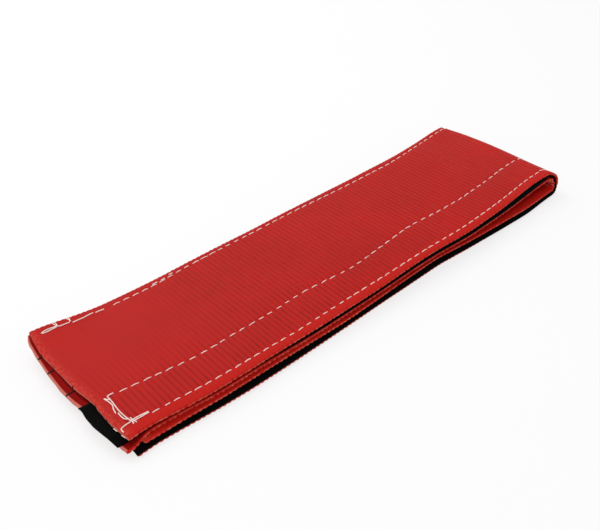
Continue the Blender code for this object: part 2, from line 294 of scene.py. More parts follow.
def linear(colour):
    """Turns an sRGB hex value to linear RGBA."""
    parts = [int(colour[i:i + 2], 16) / 255 for i in (1, 3, 5)]
    return [c / 12.92 if c <= 0.04045 else ((c + 0.055) / 1.055) ** 2.4 for c in parts] + [1.0]


def add(tree, kind, inputs=None, **settings):
    """Adds a node with its settings. Inputs, by name or number, are values, or the sockets or nodes that feed
    them, a node by the first output that its settings leave on. A Mix node's colours are inputs 6 and 7."""
    node = tree.nodes.new(kind)
    for name, value in settings.items():
        setattr(node, name, value)
    for key, value in (inputs or {}).items():
        if isinstance(value, bpy.types.Node):
            value = next(socket for socket in value.outputs if socket.enabled)
        if isinstance(value, bpy.types.NodeSocket):
            tree.links.new(value, node.inputs[key])
        else:
            node.inputs[key].default_value = value
    return node


# Shape of the folded sleeve

def smooth(v):
    """Rises gently from 0 at 0 to 1 at 1."""
    v = np.clip(v, 0, 1)
    return v * v * (3 - 2 * v)


def through(places, values, x):
    """A line through values at places, both in millimetres, smoothed over 32 mm and read at x. x and what it
    gives are in metres."""
    fine = np.arange(-0.350, 0.350, 0.002)
    line = np.interp(fine, np.array(places) / 1000, np.array(values) / 1000)
    soft = np.hanning(17)
    line = np.convolve(np.pad(line, 8, mode="edge"), soft / soft.sum(), "valid")
    return np.interp(x, fine, line)


def bump(v, middle, width):
    """A smooth hill of height 1 round the middle, gone at the width to either side."""
    return smooth(1 - np.abs(v - middle) / width)


def swell(u, height, start, rise, stop, fall):
    """Rises to a height from a place along the route on, and falls to nothing before another."""
    return height * smooth((u - start) / rise) * smooth((stop - u) / fall)


class Drape:
    """Where each layer of the sleeve lies. u is a place along the route and y one across the panel."""

    def __init__(self, sizes):
        self.sizes = sizes
        self.half = sizes.panel_width / 2
        self.thick = sizes.panel_thickness
        self.tape = sizes.strip_thickness
        self.strip_near = -self.half + sizes.strip_inset
        self.strip_far = self.strip_near + sizes.strip_width
        self.straight = FOLD_X - LOOP_HEIGHT_NEAR / 2 - END_X
        self.cut = {
            "outer": (LOWER_OUTER_BACK / self.straight, ROUTE_END),
            "inner": (LOWER_INNER_BACK / self.straight, ROUTE_END + UPPER_INNER_REACH / self.straight),
        }

    def share(self, u):
        """How far along its straight part a place is, from the cut end to the bend."""
        return np.minimum(np.minimum(u, ROUTE_END - u), 1)

    def knots(self, panel):
        """Places along the route, and the metres along the panel's middle that they stand for."""
        straight, bend = self.straight, BEND_LENGTH[panel]
        return ((-1, 0, 1, 2, 3, 4),
                (-straight, 0, straight, straight + bend, 2 * straight + bend, 3 * straight + bend))

    def run(self, panel, u):
        """Metres along the panel's middle up to a place."""
        places, metres = self.knots(panel)
        return np.interp(u, places, metres)

    def place_of(self, panel, run):
        """The place that lies so many metres along the panel's middle."""
        places, metres = self.knots(panel)
        return np.interp(run, metres, places)

    def x_of(self, u):
        """The x that a place on the straight parts of the route has, for saying where something happens."""
        return END_X + self.share(u) * self.straight

    def read(self, u, line_of):
        """Reads the lower half's line, and the upper half's from the bend on."""
        lower, upper = [through(*line_of(half), self.x_of(u)) for half in HALVES]
        turned = smooth(u - BEND_START)
        return lower * (1 - turned) + upper * turned

    def lateral(self, panel, u, y):
        """How far a point lies nearer the closure side than in a straight panel."""
        share = self.share(u)
        free = self.read(u, lambda half: (FREE_EDGE_AT, FREE_EDGE[panel, half]))
        sewn = self.read(u, lambda half: (SEWN_EDGE_AT, SEWN_EDGE[half]))
        reach = np.clip((self.half - y) / (2 * self.half), 0, 1)
        if panel == "outer":
            free = free + swell(u, *EDGE_SWELL)
        return 4 * EDGE_BOW * share * (1 - share) + free * reach + sewn * (1 - reach)

    def tape_shift(self, layer, u):
        """How much nearer the free edge a tape lies than its inset says."""
        return self.read(u, lambda half: TAPE_SHIFT[layer, half]) - swell(u, *TAPE_SWELL)

    def thin(self, panel, u, y):
        """How much thinner the webbing is within 5.5 mm of its free edge."""
        less = self.read(u, lambda half: (THIN_AT, THIN[panel, half]))
        less = less * (1 - swell(u, *THIN_FADE))
        return less * smooth((0.0055 - self.half - y) / 0.005)

    def row(self, name, u):
        """Where a row of stitches runs across the panel."""
        return through(*ROWS[name], self.x_of(u))

    def ribbing(self, panel, u, y):
        """How plainly the ribs show, as a share of their height."""
        x = self.x_of(u)
        plain = through(*RIBS_SHOW, x)
        # Towards the cut end they show on the near half only. Over the tape they show more, but not by the
        # fold.
        beside_end = smooth((-0.105 - x) / 0.085)
        plain = plain * (1 - beside_end) + beside_end * (0.06 + 1.3 * np.clip((0.025 - y) / 0.08, 0, 1))
        under_tape = smooth((-0.028 - y) / 0.01) * (1 - smooth((x - 0.11) / 0.05))
        plain = plain * (1 + 0.2 * under_tape)
        return np.where((panel == "outer") & (u > BEND_TOP), plain, 1.0) + 0 * y

    def scallops(self, panel, u, y):
        """How far the selvedge's loops stand out, as a share: most at the cut ends and least by the fold."""
        x = self.x_of(u)
        sewn_side = 0.25 + 0.55 * smooth((-0.165 - x) / 0.04)
        share = np.where((panel == "outer") & (u > BEND_TOP), np.where(y > 0, sewn_side, 0.15), 0.65)
        return share * (1 - 0.7 * smooth((x + 0.08) / 0.12))

    def loop_height(self, y):
        """Height of the bend, which is lower at the sewn edge."""
        return LOOP_HEIGHT_NEAR + (LOOP_HEIGHT_FAR - LOOP_HEIGHT_NEAR) * (y + self.half) / (2 * self.half)

    def spread(self, y):
        """1 where the tapes lie between the panels, falling to 0 at the sewn edge."""
        return 1 - np.clip((y - self.strip_far) / (self.half - self.strip_far), 0, 1)

    def inner_depth(self, y):
        """Depth of the inner panel's inside face under the outer panel's coated face."""
        return self.thick + LAYER_GAP + self.spread(y) * 2 * (self.tape + LAYER_GAP)

    def stack_height(self, y):
        """Height of both halves and the gap between them, where the upper one has settled."""
        gap = GAP_NEAR + (GAP_FAR - GAP_NEAR) * (y + self.half) / (2 * self.half)
        return 2 * (self.inner_depth(y) + self.thick) + gap

    def flare(self, u, y):
        """How far the upper ends turn up beside the sewn edge."""
        beside_seam = np.clip((y - self.strip_far) / (self.half - self.strip_far), 0, 1) ** 3
        return FLARE * smooth(1 - (ROUTE_END - u) * self.straight / FLARE_RUN) * beside_seam

    def crumple(self, u, y):
        """Creases of the inner panel inside the bend, deepest above and beside the free edge."""
        turn = np.clip(u - BEND_START, 0, 1)
        beside = 0.35 + 0.65 * smooth(-y / 0.05)
        ridges = np.abs(np.sin(4 * np.pi * turn)) ** 3 * np.where(turn > 0.5, CREASE_DEPTH, LOW_CREASE_DEPTH)
        return ridges * beside * (0.7 + 0.3 * np.sin(y * 190 + turn * 9))

    def sag(self, layer, u, y):
        """How much deeper than flat a layer lies, towards the middle of the fold."""
        x = self.x_of(u)
        pinch = sum(np.exp(-((y - self.row(name, u)) / PINCH_WIDTH) ** 2) for name in ROWS) * PINCH_DEPTH
        # Past its row of stitches the upper half's free edge droops, but not beside the fold.
        past_row = np.clip((self.row("near", u) - y) / 0.008, 0, 1.3) ** 1.3
        droop = (0.0005 + 0.0007 * smooth(x / 0.08)) * (1 - smooth((x - 0.15) / 0.06)) * past_row
        droop = droop * smooth((u - 2.0) / 0.1)
        # The seam pulls the selvedge in round the bend, and the cloth bulges where the bend stops.
        tuck = smooth((y - self.row("seam", u) - 0.001) / 0.003) * swell(u, *SEAM_TUCK)
        lift = 0.0010 * smooth((y - 0.050) / 0.025) * bump(u, 2.02, 0.05)
        lift = lift + bump(y, 0.012, 0.075) * swell(u, *NOSE_BULGE)
        if PANEL_OF[layer] == "outer":
            return pinch + droop + tuck - lift
        # The near corner of the inner panel's upper cut hangs a little.
        tip = 0.0025 * smooth((-0.232 - x) / 0.02) * smooth((-0.058 - y) / 0.014) * (u > BEND_TOP)
        return droop + tuck - lift + tip + self.crumple(u, y) - pinch * (layer == "inner")

    def lie(self, u, y):
        """Gentle unevenness of the upper half, the same for all its layers."""
        x = self.x_of(u)
        upper = 0.0005 * np.sin(x * 31 + y * 9 + 0.8) + 0.0003 * np.sin(x * 67 - y * 31 + 2.0)
        return np.where(u < BEND_TOP, 0, upper * smooth((u - 2.05) / 0.1))

    def point(self, layer, u, y, depth):
        """Places of points of a layer, given how deep they lie under the outer panel's coated face."""
        u, y, depth = np.broadcast_arrays(u, y, depth)
        panel = PANEL_OF[layer]
        if layer != panel:
            y = y - self.tape_shift(layer, u)
        less = self.thin(panel, u, y)
        if layer == "outer":
            depth = depth * (1 - less / self.thick)
        elif layer == "hook":
            depth = depth - less
        elif layer == "loop":
            depth = depth + less
        else:
            depth = depth + less * (1 - (depth - self.inner_depth(y)) / self.thick)
        depth = depth + self.sag(layer, u, y)
        radius = self.loop_height(y) / 2
        bend_x = FOLD_X - radius
        turn = (np.clip(u, BEND_START, BEND_STOP) - BEND_START) * np.pi
        bent = (u > BEND_START) & (u < BEND_STOP)
        x = np.where(bent, bend_x + (radius - depth) * np.sin(turn), END_X + self.share(u) * (bend_x - END_X))
        x = x - smooth((y - 0.045) / 0.03) * swell(u, *SEAM_DRAW)
        settled = self.stack_height(y)
        top = settled + (2 * radius - settled) * (1 - smooth((bend_x - x) / LOOP_RUN))
        upper = top - depth + self.lie(u, y) + self.flare(u, y)
        near_cut = smooth(1 - (self.cut[panel][1] - u) * self.straight / CUT_RUN)
        places, back = UPPER_CUT[panel]
        x = x + np.interp(y, np.array(places) / 1000, np.array(back) / 1000) * near_cut
        round_bend = radius - (radius - depth) * np.cos(turn)
        z = np.where(bent, round_bend, np.where(u >= BEND_STOP, upper, depth))
        return np.stack([x, y - self.lateral(panel, u, y) + SIDE_SHIFT, z], axis=-1)

    def base(self, layer, y):
        """Depth at which a layer starts."""
        if layer == "outer":
            return np.zeros_like(y)
        if layer == "hook":
            return np.full_like(y, self.thick + LAYER_GAP)
        if layer == "loop":
            return np.full_like(y, self.thick + self.tape + 2 * LAYER_GAP)
        return self.inner_depth(y)


# Meshes

def across(drape):
    """Lines across a panel: close together round the selvedges and beside the sewn rows."""
    half = drape.half
    curl = [half - SELVEDGE * (1 - math.sin(math.radians(a))) for a in (0, 25, 50, 72, 90)]
    lines = [s * c for c in curl for s in (-1, 1)]
    for low, high in CLOSE_LINES:
        lines += list(np.arange(low, high, CLOSE_STEP))
    lines += list(np.linspace(-half + 0.004, half - 0.004, PLAIN_LINES))
    # Lines closer than 0.9 mm are left out, but for those round the selvedges.
    kept = []
    for line in sorted(lines):
        if not kept or line - kept[-1] > 0.0009 or abs(line) > half - 0.0017:
            kept.append(line)
    return np.array(kept)


def ring_faces(rows, ring):
    """Faces between rings of points that follow each other."""
    index = np.arange(rows * ring).reshape(rows, ring)
    a, b = index[:-1], index[1:]
    return np.stack([a, b, np.roll(b, -1, axis=1), np.roll(a, -1, axis=1)], axis=-1).reshape(-1, 4).tolist()


def new_piece(name, points, edges=(), faces=(), closed=False):
    """An object with a new mesh. The faces of a closed mesh are turned outwards."""
    mesh = bpy.data.meshes.new(name)
    mesh.from_pydata(np.reshape(points, (-1, 3)).tolist(), edges, faces)
    if closed and signed_volume(mesh) < 0:
        mesh.flip_normals()
    piece = bpy.data.objects.new(name, mesh)
    bpy.context.scene.collection.objects.link(piece)
    return piece


def mark(mesh, domain, **attributes):
    """Writes attributes of a mesh, each an array of numbers or of vectors."""
    for name, values in attributes.items():
        kind, field = ("FLOAT", "value") if np.ndim(values) == 1 else ("FLOAT_VECTOR", "vector")
        data = mesh.attributes.new(name, kind, domain).data
        data.foreach_set(field, np.asarray(values, np.float32).ravel())


def unwrap(mesh, along, over):
    """The UV map of a piece: each point's metres along the uncut webbing and across it."""
    vertex = np.zeros(len(mesh.loops), np.int32)
    mesh.loops.foreach_get("vertex_index", vertex)
    flat = np.stack([along[vertex], over[vertex]], axis=-1).astype(np.float32)
    mesh.uv_layers.new(name="cut").data.foreach_set("uv", flat.ravel())


def slab(name, drape, layer, u, ribs, y, thick, selvedge, ends):
    """A closed ribbon of one layer between stations u. ribs counts the ribs up to each station, y is the
    lines across, and ends says which of its two ends are cuts."""
    panel = PANEL_OF[layer]
    rows, lines = len(u), len(y)
    middle, reach = (y[0] + y[-1]) / 2, (y[-1] - y[0]) / 2
    from_edge = reach - np.abs(y - middle)
    rounding = np.clip((selvedge - from_edge) / selvedge, 0, 1)
    half_thick = thick / 2 * np.sqrt(1 - rounding ** 2)
    centre = drape.base(layer, y) + thick / 2
    over = np.concatenate([y, y[-2:0:-1]])
    depth = np.concatenate([centre - half_thick, (centre + half_thick)[-2:0:-1]])
    edge = np.clip(1 - np.concatenate([from_edge, from_edge[-2:0:-1]]) / SELVEDGE, 0, 1)
    ring = len(over)
    stations = np.repeat(u[:, None], ring, axis=1)
    rng = np.random.default_rng(len(name))
    for end, cut in zip((0, -1), ends):
        if cut:
            stations[end] += rng.uniform(-1, 1, ring) * CUT_UNEVEN / drape.straight
    points = drape.point(layer, stations, over, depth)
    faces = ring_faces(rows, ring)
    inside = [float(j >= lines - 1) for j in range(ring)] * (rows - 1)
    if panel == "inner":
        inside = [1 - v for v in inside]
    inside += [0.5] * (2 * (lines - 1))
    end_flag = [0.0] * len(faces)
    for row, turned, cut in ((0, False, ends[0]), (rows - 1, True, ends[1])):
        first = row * ring
        for j in range(lines - 1):
            face = [first + j, first + j + 1, first + (ring - j - 1) % ring, first + (ring - j) % ring]
            face = list(dict.fromkeys(face))
            faces.append(face[::-1] if turned else face)
            end_flag.append(float(cut))
    piece = new_piece(name, points, faces=faces, closed=True)
    mesh = piece.data
    to_cut = [np.abs(u - end) for end, cut in zip((u[0], u[-1]), ends) if cut] or [np.ones(rows)]
    fray = smooth(1 - np.min(to_cut, axis=0) * drape.straight / FRAY_REACH)
    mark(mesh, "POINT", rib=np.repeat(ribs, ring), edge=np.tile(edge, rows), fray=np.repeat(fray, ring),
         crease=drape.crumple(stations, over).ravel() / CREASE_DEPTH * (layer == "inner"),
         loops=(drape.scallops(panel, stations, over) * edge).ravel(),
         ribbing=drape.ribbing(panel, stations, over).ravel())
    mark(mesh, "FACE", inside=inside, end=end_flag)
    unwrap(mesh, np.repeat(drape.run(panel, u), ring), np.tile(over, rows))
    mesh.shade_smooth()
    pairs = np.zeros(len(mesh.edges) * 2, np.int32)
    mesh.edges.foreach_get("vertices", pairs)
    pairs = pairs.reshape(-1, 2) // ring
    sharp = (pairs[:, 0] == pairs[:, 1]) & ((pairs[:, 0] == 0) | (pairs[:, 0] == rows - 1))
    mesh.attributes.new("sharp_edge", "BOOLEAN", "EDGE").data.foreach_set("value", sharp)
    return piece


def signed_volume(mesh):
    """Above 0 when the faces of a closed mesh are turned outwards."""
    mesh.calc_loop_triangles()
    co = np.zeros(len(mesh.vertices) * 3)
    mesh.vertices.foreach_get("co", co)
    tri = np.zeros(len(mesh.loop_triangles) * 3, np.int32)
    mesh.loop_triangles.foreach_get("vertices", tri)
    a, b, c = co.reshape(-1, 3)[tri.reshape(-1, 3)].transpose(1, 0, 2)
    return float((np.cross(a, b) * c).sum())


def grow(piece, tree, values):
    """Runs a Geometry Nodes tree on a piece and keeps the result as its plain mesh."""
    modifier = piece.modifiers.new(tree.name, "NODES")
    modifier.node_group = tree
    sockets = {s.name: s.identifier for s in tree.interface.items_tree if s.in_out == "INPUT"}
    for name, value in values.items():
        modifier[sockets[name]] = value
    evaluated = piece.evaluated_get(bpy.context.evaluated_depsgraph_get())
    made = bpy.data.meshes.new_from_object(evaluated)
    piece.modifiers.clear()
    piece.data = made
    made.name = piece.name
    return piece


# Geometry Nodes trees

def tree_with(name, numbers):
    """A Geometry Nodes tree that takes geometry, named numbers and a material, with its two end nodes."""
    tree = bpy.data.node_groups.new(name, "GeometryNodeTree")
    tree.interface.new_socket("Geometry", in_out="INPUT", socket_type="NodeSocketGeometry")
    for label, value in numbers.items():
        socket = tree.interface.new_socket(label, in_out="INPUT", socket_type="NodeSocketFloat")
        socket.default_value = value
    tree.interface.new_socket("Material", in_out="INPUT", socket_type="NodeSocketMaterial")
    tree.interface.new_socket("Geometry", in_out="OUTPUT", socket_type="NodeSocketGeometry")
    return tree, add(tree, "NodeGroupInput"), add(tree, "NodeGroupOutput")


def end_tree(tree, given, out, geometry):
    """Ends a tree: makes its geometry real, gives it the material and hands it on."""
    real = add(tree, "GeometryNodeRealizeInstances", {0: geometry})
    painted = add(tree, "GeometryNodeSetMaterial", {0: real, "Material": given.outputs["Material"]})
    tree.links.new(painted.outputs[0], out.inputs[0])
    return tree


def rib_wave(tree, rib):
    """From 0 between two ribs to 1 on the top of each."""
    wave = add(tree, "ShaderNodeMath", {0: rib, 1: math.pi}, operation="MULTIPLY")
    for operation in ("SINE", "ABSOLUTE"):
        wave = add(tree, "ShaderNodeMath", {0: wave}, operation=operation)
    return wave


def ribs_tree():
    """Raises the woven ribs across the webbing and the weft loops of its selvedges."""
    tree, given, out = tree_with("Webbing ribs", {"Rib Height": 0.0001, "Scallop": 0.0004})
    rib, edge, plain = [add(tree, "GeometryNodeInputNamedAttribute", {"Name": name}, data_type="FLOAT")
                        for name in ("rib", "loops", "ribbing")]
    wave = rib_wave(tree, rib)
    number = add(tree, "ShaderNodeMath", {0: rib}, operation="FLOOR")
    whole = add(tree, "FunctionNodeFloatToInt", {0: number})
    uneven = add(tree, "FunctionNodeRandomValue", {2: 0.65, 3: 1.2, "ID": whole, "Seed": 7},
                 data_type="FLOAT")
    ribs = add(tree, "ShaderNodeMath", {0: uneven, 1: given.outputs["Rib Height"]}, operation="MULTIPLY")
    ribs = add(tree, "ShaderNodeMath", {0: ribs, 1: plain}, operation="MULTIPLY")
    loops = add(tree, "ShaderNodeMath", {0: edge, 1: given.outputs["Scallop"]}, operation="MULTIPLY")
    height = add(tree, "ShaderNodeMath", {0: ribs, 1: loops}, operation="ADD")
    height = add(tree, "ShaderNodeMath", {0: height, 1: wave}, operation="MULTIPLY")
    normal = add(tree, "GeometryNodeInputNormal")
    push = add(tree, "ShaderNodeVectorMath", {0: normal, "Scale": height}, operation="SCALE")
    moved = add(tree, "GeometryNodeSetPosition", {"Geometry": given.outputs["Geometry"], "Offset": push})
    return end_tree(tree, given, out, moved)


def thread_tube(tree, given, curve):
    """A closed tube of thread along a curve, which keeps how far along the thread each point is."""
    radius = add(tree, "ShaderNodeMath", {0: given.outputs["Width"], 1: 0.5}, operation="MULTIPLY")
    profile = add(tree, "GeometryNodeCurvePrimitiveCircle", {"Resolution": 6, "Radius": radius})
    along = add(tree, "GeometryNodeSplineParameter").outputs["Length"]
    kept = add(tree, "GeometryNodeStoreNamedAttribute", {0: curve, "Name": "along", "Value": along},
               data_type="FLOAT", domain="POINT")
    return add(tree, "GeometryNodeCurveToMesh", {0: kept, "Profile Curve": profile, "Fill Caps": True})


def stitches_tree():
    """Lays a bent length of thread on every point of a row, each a little different."""
    tree, given, out = tree_with("Stitches", {"Length": 0.0068, "Width": 0.001, "Rise": 0.0005})
    geometry, length, width, rise = [given.outputs[name] for name in ("Geometry", "Length", "Width", "Rise")]
    points = add(tree, "GeometryNodeMeshToPoints", {0: geometry})
    face, way = [add(tree, "GeometryNodeInputNamedAttribute", {"Name": name}, data_type="FLOAT_VECTOR")
                 for name in ("out", "way")]
    long = add(tree, "GeometryNodeInputNamedAttribute", {"Name": "long"}, data_type="FLOAT")
    lie = add(tree, "FunctionNodeAxesToRotation", {0: face, 1: way}, primary_axis="Z", secondary_axis="X")
    turn = add(tree, "FunctionNodeRandomValue", {0: (0, 0, -0.08), 1: (0, 0, 0.08), "Seed": 3},
               data_type="FLOAT_VECTOR")
    spin = add(tree, "FunctionNodeEulerToRotation", {0: turn})
    lie = add(tree, "FunctionNodeRotateRotation", {0: lie, 1: spin}, rotation_space="LOCAL")
    size = add(tree, "FunctionNodeRandomValue", {0: (0.86, 0.9, 0.9), 1: (1.1, 1.1, 1.15), "Seed": 5},
               data_type="FLOAT_VECTOR")
    stretch = add(tree, "ShaderNodeCombineXYZ", {0: long, 1: 1.0, 2: 1.0})
    size = add(tree, "ShaderNodeVectorMath", {0: size, 1: stretch}, operation="MULTIPLY")
    half = add(tree, "ShaderNodeMath", {0: length, 1: 0.5}, operation="MULTIPLY")
    back = add(tree, "ShaderNodeMath", {0: half, 1: -1.0}, operation="MULTIPLY")
    dip = add(tree, "ShaderNodeMath", {0: width, 1: -0.45}, operation="MULTIPLY")
    top = add(tree, "ShaderNodeMath", {0: rise, 1: 2.4}, operation="MULTIPLY")
    start = add(tree, "ShaderNodeCombineXYZ", {0: back, 2: dip})
    middle = add(tree, "ShaderNodeCombineXYZ", {2: top})
    stop = add(tree, "ShaderNodeCombineXYZ", {0: half, 2: dip})
    bow = add(tree, "GeometryNodeCurveQuadraticBezier",
              {"Resolution": 8, "Start": start, "Middle": middle, "End": stop})
    laid = add(tree, "GeometryNodeInstanceOnPoints",
               {"Points": points, "Instance": thread_tube(tree, given, bow), "Rotation": lie, "Scale": size})
    return end_tree(tree, given, out, laid)


def lengths_tree():
    """Turns lines drawn on the webbing into lengths of thread that lie on it."""
    tree, given, out = tree_with("Thread lengths", {"Width": 0.001, "Rise": 0.0004})
    face = add(tree, "GeometryNodeInputNamedAttribute", {"Name": "out"}, data_type="FLOAT_VECTOR")
    lifted = add(tree, "ShaderNodeVectorMath", {0: face, "Scale": given.outputs["Rise"]}, operation="SCALE")
    raised = add(tree, "GeometryNodeSetPosition", {"Geometry": given.outputs["Geometry"], "Offset": lifted})
    lines = add(tree, "GeometryNodeMeshToCurve", {0: raised})
    return end_tree(tree, given, out, thread_tube(tree, given, lines))


# Materials

def new_material(name):
    """A new material and its node tree, emptied."""
    material = bpy.data.materials.new(name)
    material.use_nodes = True
    material.node_tree.nodes.clear()
    return material, material.node_tree


def webbing_material(name):
    """Polyester webbing with a thin polyurethane coating: deep red, ribbed, with a soft broad shine."""
    sizes, colours = settings()
    material, tree = new_material(name)
    red, deep, cut_end, tracer, shaded_lining = [linear(colour) for colour in (
        colours.webbing, colours.webbing_deep, colours.cut_end, colours.tracer, colours.shaded_lining)]
    uv = add(tree, "ShaderNodeUVMap", uv_map="cut")
    over = add(tree, "ShaderNodeSeparateXYZ", {0: uv}).outputs["Y"]
    inside, end, edge, rib, fray, crease, ribbing = [
        add(tree, "ShaderNodeAttribute", attribute_name=label).outputs["Fac"]
        for label in ("inside", "end", "edge", "rib", "fray", "crease", "ribbing")]
    # Patches about 60 mm wide, cracks of 2.4 mm, specks of 1.1 mm in the cut yarns and grain of 0.7 mm. The
    # real grain is finer, and wouldn't show.
    broad, crack, speck, grain = [
        add(tree, "ShaderNodeTexNoise", {"Vector": uv, "Scale": scale, "Detail": detail})
        for scale, detail in ((16.0, 3.0), (420.0, 3.0), (900.0, 2.0), (1400.0, 3.0))]
    # One value a rib: the dye, which changes over 70 mm along the rib, and the breaks in the painted shade
    # between ribs, over 17 mm.
    dye, groove_shade_breaks = [
        add(tree, "ShaderNodeTexNoise", {
            "Vector": add(tree, "ShaderNodeMapping", {0: uv, "Scale": (1 / sizes.rib_pitch, along_rib, 1.0)}),
            "Scale": 1.0, "Detail": detail})
        for along_rib, detail in ((14.0, 2.0), (60.0, 1.0))]
    tone = add(tree, "ShaderNodeMath", {0: dye, 1: 0.25, 2: broad}, operation="MULTIPLY_ADD")
    tone = add(tree, "ShaderNodeMapRange", {0: tone, 1: 0.40, 2: 0.85})
    # Painted shade darkens the valleys between ribs. It is broken up along each rib and hardly shows where
    # the ribs are low.
    wave = rib_wave(tree, rib)
    painted_groove_shade = add(tree, "ShaderNodeMapRange", {0: wave, 1: 0.0, 2: 0.80, 3: 1.0, 4: 0.0})
    depth = add(tree, "ShaderNodeMath", {0: ribbing, 1: 0.50}, operation="MULTIPLY", use_clamp=True)
    groove_shade_breaks = add(tree, "ShaderNodeMapRange", {0: groove_shade_breaks, 1: 0.3, 2: 0.7, 3: 0.35})
    for share in (depth, groove_shade_breaks):
        painted_groove_shade = add(tree, "ShaderNodeMath", {0: painted_groove_shade, 1: share}, operation="MULTIPLY")
    # Beside the free edge, past the near row, the face is mottled and more orange: painted light for how its
    # drooping margin takes the light. By the cuts the coating is cracked: mottled and more orange, and paler
    # by the cuts.
    free = add(tree, "ShaderNodeMapRange", {0: over, 1: -0.0640, 2: -0.0680})
    cracks_and_painted_margin = add(tree, "ShaderNodeMath", {0: free, 1: fray}, operation="MAXIMUM")
    mottle = add(tree, "ShaderNodeMapRange", {0: crack, 1: 0.35, 2: 0.65})
    pale = add(tree, "ShaderNodeMath", {0: fray, 1: mottle}, operation="MULTIPLY")
    pale = add(tree, "ShaderNodeMath", {0: pale, 1: 0.22}, operation="MULTIPLY")
    # Five tracer stripes, one in the middle and two pairs beside it, 1.6 mm wide.
    away = add(tree, "ShaderNodeMath", {0: over}, operation="ABSOLUTE")
    stripe, pair, outer_pair = [
        add(tree, "ShaderNodeMath", {0: away, 1: place, 2: 0.0008}, operation="COMPARE")
        for place in (0.0, 0.030, 0.048)]
    for line in (pair, outer_pair):
        stripe = add(tree, "ShaderNodeMath", {0: stripe, 1: line}, operation="MAXIMUM")
    # The coating has come off the inside face along the last millimetre before a cut.
    bare = add(tree, "ShaderNodeMapRange", {0: fray, 1: 0.90, 2: 0.96, 4: 0.8})
    # Weft loops make the selvedge: a painted highlight where each loop turns, painted shade between two
    # loops, and a pale painted highlight along the rim.
    beside = add(tree, "ShaderNodeMapRange", {0: edge, 1: 0.05, 2: 0.5})
    painted_rim_highlight = add(tree, "ShaderNodeMapRange", {0: edge, 1: 0.72, 2: 0.98, 4: 0.75})
    painted_rim_highlight = add(tree, "ShaderNodeMath", {0: painted_rim_highlight, 1: mottle}, operation="MULTIPLY")
    # Sharp creases stretch the coating and whiten it, and the pale colour on their ridges is also a painted
    # highlight.
    white = add(tree, "ShaderNodeMapRange", {0: crease, 1: 0.30, 2: 0.80, 4: 0.8})
    # Cut yarns are paler and speckled, and black where a tracer is cut.
    speck = add(tree, "ShaderNodeMapRange", {0: speck, 1: 0.3, 2: 0.6, 3: 0.45})
    # Each colour is laid over the ones before it, by its share.
    orange, loop, yarn, face, inner = [
        add(tree, "ShaderNodeMix", {0: share, 6: first, 7: second}, data_type="RGBA")
        for share, first, second in (
            (mottle, red, linear(colours.selvedge)), (wave, deep, linear(colours.selvedge)),
            (speck, red, cut_end), (tone, deep, red), (painted_groove_shade, shaded_lining, deep))]
    for share, laid in ((painted_groove_shade, linear(colours.painted_groove_shade)), (cracks_and_painted_margin, orange), (pale, cut_end)):
        face = add(tree, "ShaderNodeMix", {0: share, 6: face, 7: laid}, data_type="RGBA")
    for share, laid in ((bare, cut_end), (stripe, tracer)):
        inner = add(tree, "ShaderNodeMix", {0: share, 6: inner, 7: laid}, data_type="RGBA")
    yarn = add(tree, "ShaderNodeMix", {0: stripe, 6: yarn, 7: tracer}, data_type="RGBA")
    colour = face
    for share, laid in ((inside, inner), (beside, loop), (painted_rim_highlight, linear(colours.painted_rim_highlight)),
                        (white, linear(colours.crease)), (end, yarn)):
        colour = add(tree, "ShaderNodeMix", {0: share, 6: colour, 7: laid}, data_type="RGBA")
    # The inside is rougher than the coating, and the cracked coating and the painted margin are rougher than
    # the rest.
    rough = add(tree, "ShaderNodeMapRange", {0: broad, 3: 0.36, 4: 0.52})
    for share, more in ((inside, 0.25), (cracks_and_painted_margin, 0.12)):
        rough = add(tree, "ShaderNodeMath", {0: share, 1: more, 2: rough}, operation="MULTIPLY_ADD")
    # Warp yarns run along the panel, 0.9 mm apart, and grain lies over them.
    warp = add(tree, "ShaderNodeMath", {0: over, 1: 2 * math.pi / 0.0009}, operation="MULTIPLY")
    warp = add(tree, "ShaderNodeMath", {0: warp}, operation="SINE")
    weave = add(tree, "ShaderNodeMath", {0: warp, 1: 0.25, 2: grain}, operation="MULTIPLY_ADD")
    relief = add(tree, "ShaderNodeBump", {"Height": weave, "Strength": 0.6, "Distance": 0.0001})
    uneven = add(tree, "ShaderNodeMath", {0: mottle, 1: cracks_and_painted_margin}, operation="MULTIPLY")
    relief = add(tree, "ShaderNodeBump",
                 {"Height": uneven, "Strength": 0.5, "Distance": 0.0004, "Normal": relief})
    shader = add(tree, "ShaderNodeBsdfPrincipled", {
        "Base Color": colour, "Roughness": rough, "Specular IOR Level": 0.08, "Normal": relief})
    add(tree, "ShaderNodeOutputMaterial", {"Surface": shader})
    return material


def tape_material(name, grain_size, relief_depth, sheen):
    """Nylon hook or loop tape: black and matt, with hooks or loops that catch a little light."""
    colours = settings()[1]
    material, tree = new_material(name)
    uv = add(tree, "ShaderNodeUVMap", uv_map="cut")
    cells = add(tree, "ShaderNodeTexVoronoi", {"Vector": uv, "Scale": 1 / grain_size, "Randomness": 0.7})
    fuzz = add(tree, "ShaderNodeTexNoise", {"Vector": uv, "Scale": 2 / grain_size, "Detail": 3.0})
    tone = add(tree, "ShaderNodeMix", {0: fuzz, 6: linear(colours.tape), 7: linear(colours.tape_nap)},
               data_type="RGBA")
    height = add(tree, "ShaderNodeMath", {0: fuzz, 1: cells.outputs["Distance"]}, operation="SUBTRACT")
    relief = add(tree, "ShaderNodeBump", {"Height": height, "Strength": 0.8, "Distance": relief_depth})
    shader = add(tree, "ShaderNodeBsdfPrincipled", {
        "Base Color": tone, "Roughness": 0.9, "Specular IOR Level": 0.02, "Sheen Weight": sheen,
        "Normal": relief})
    add(tree, "ShaderNodeOutputMaterial", {"Surface": shader})
    return material


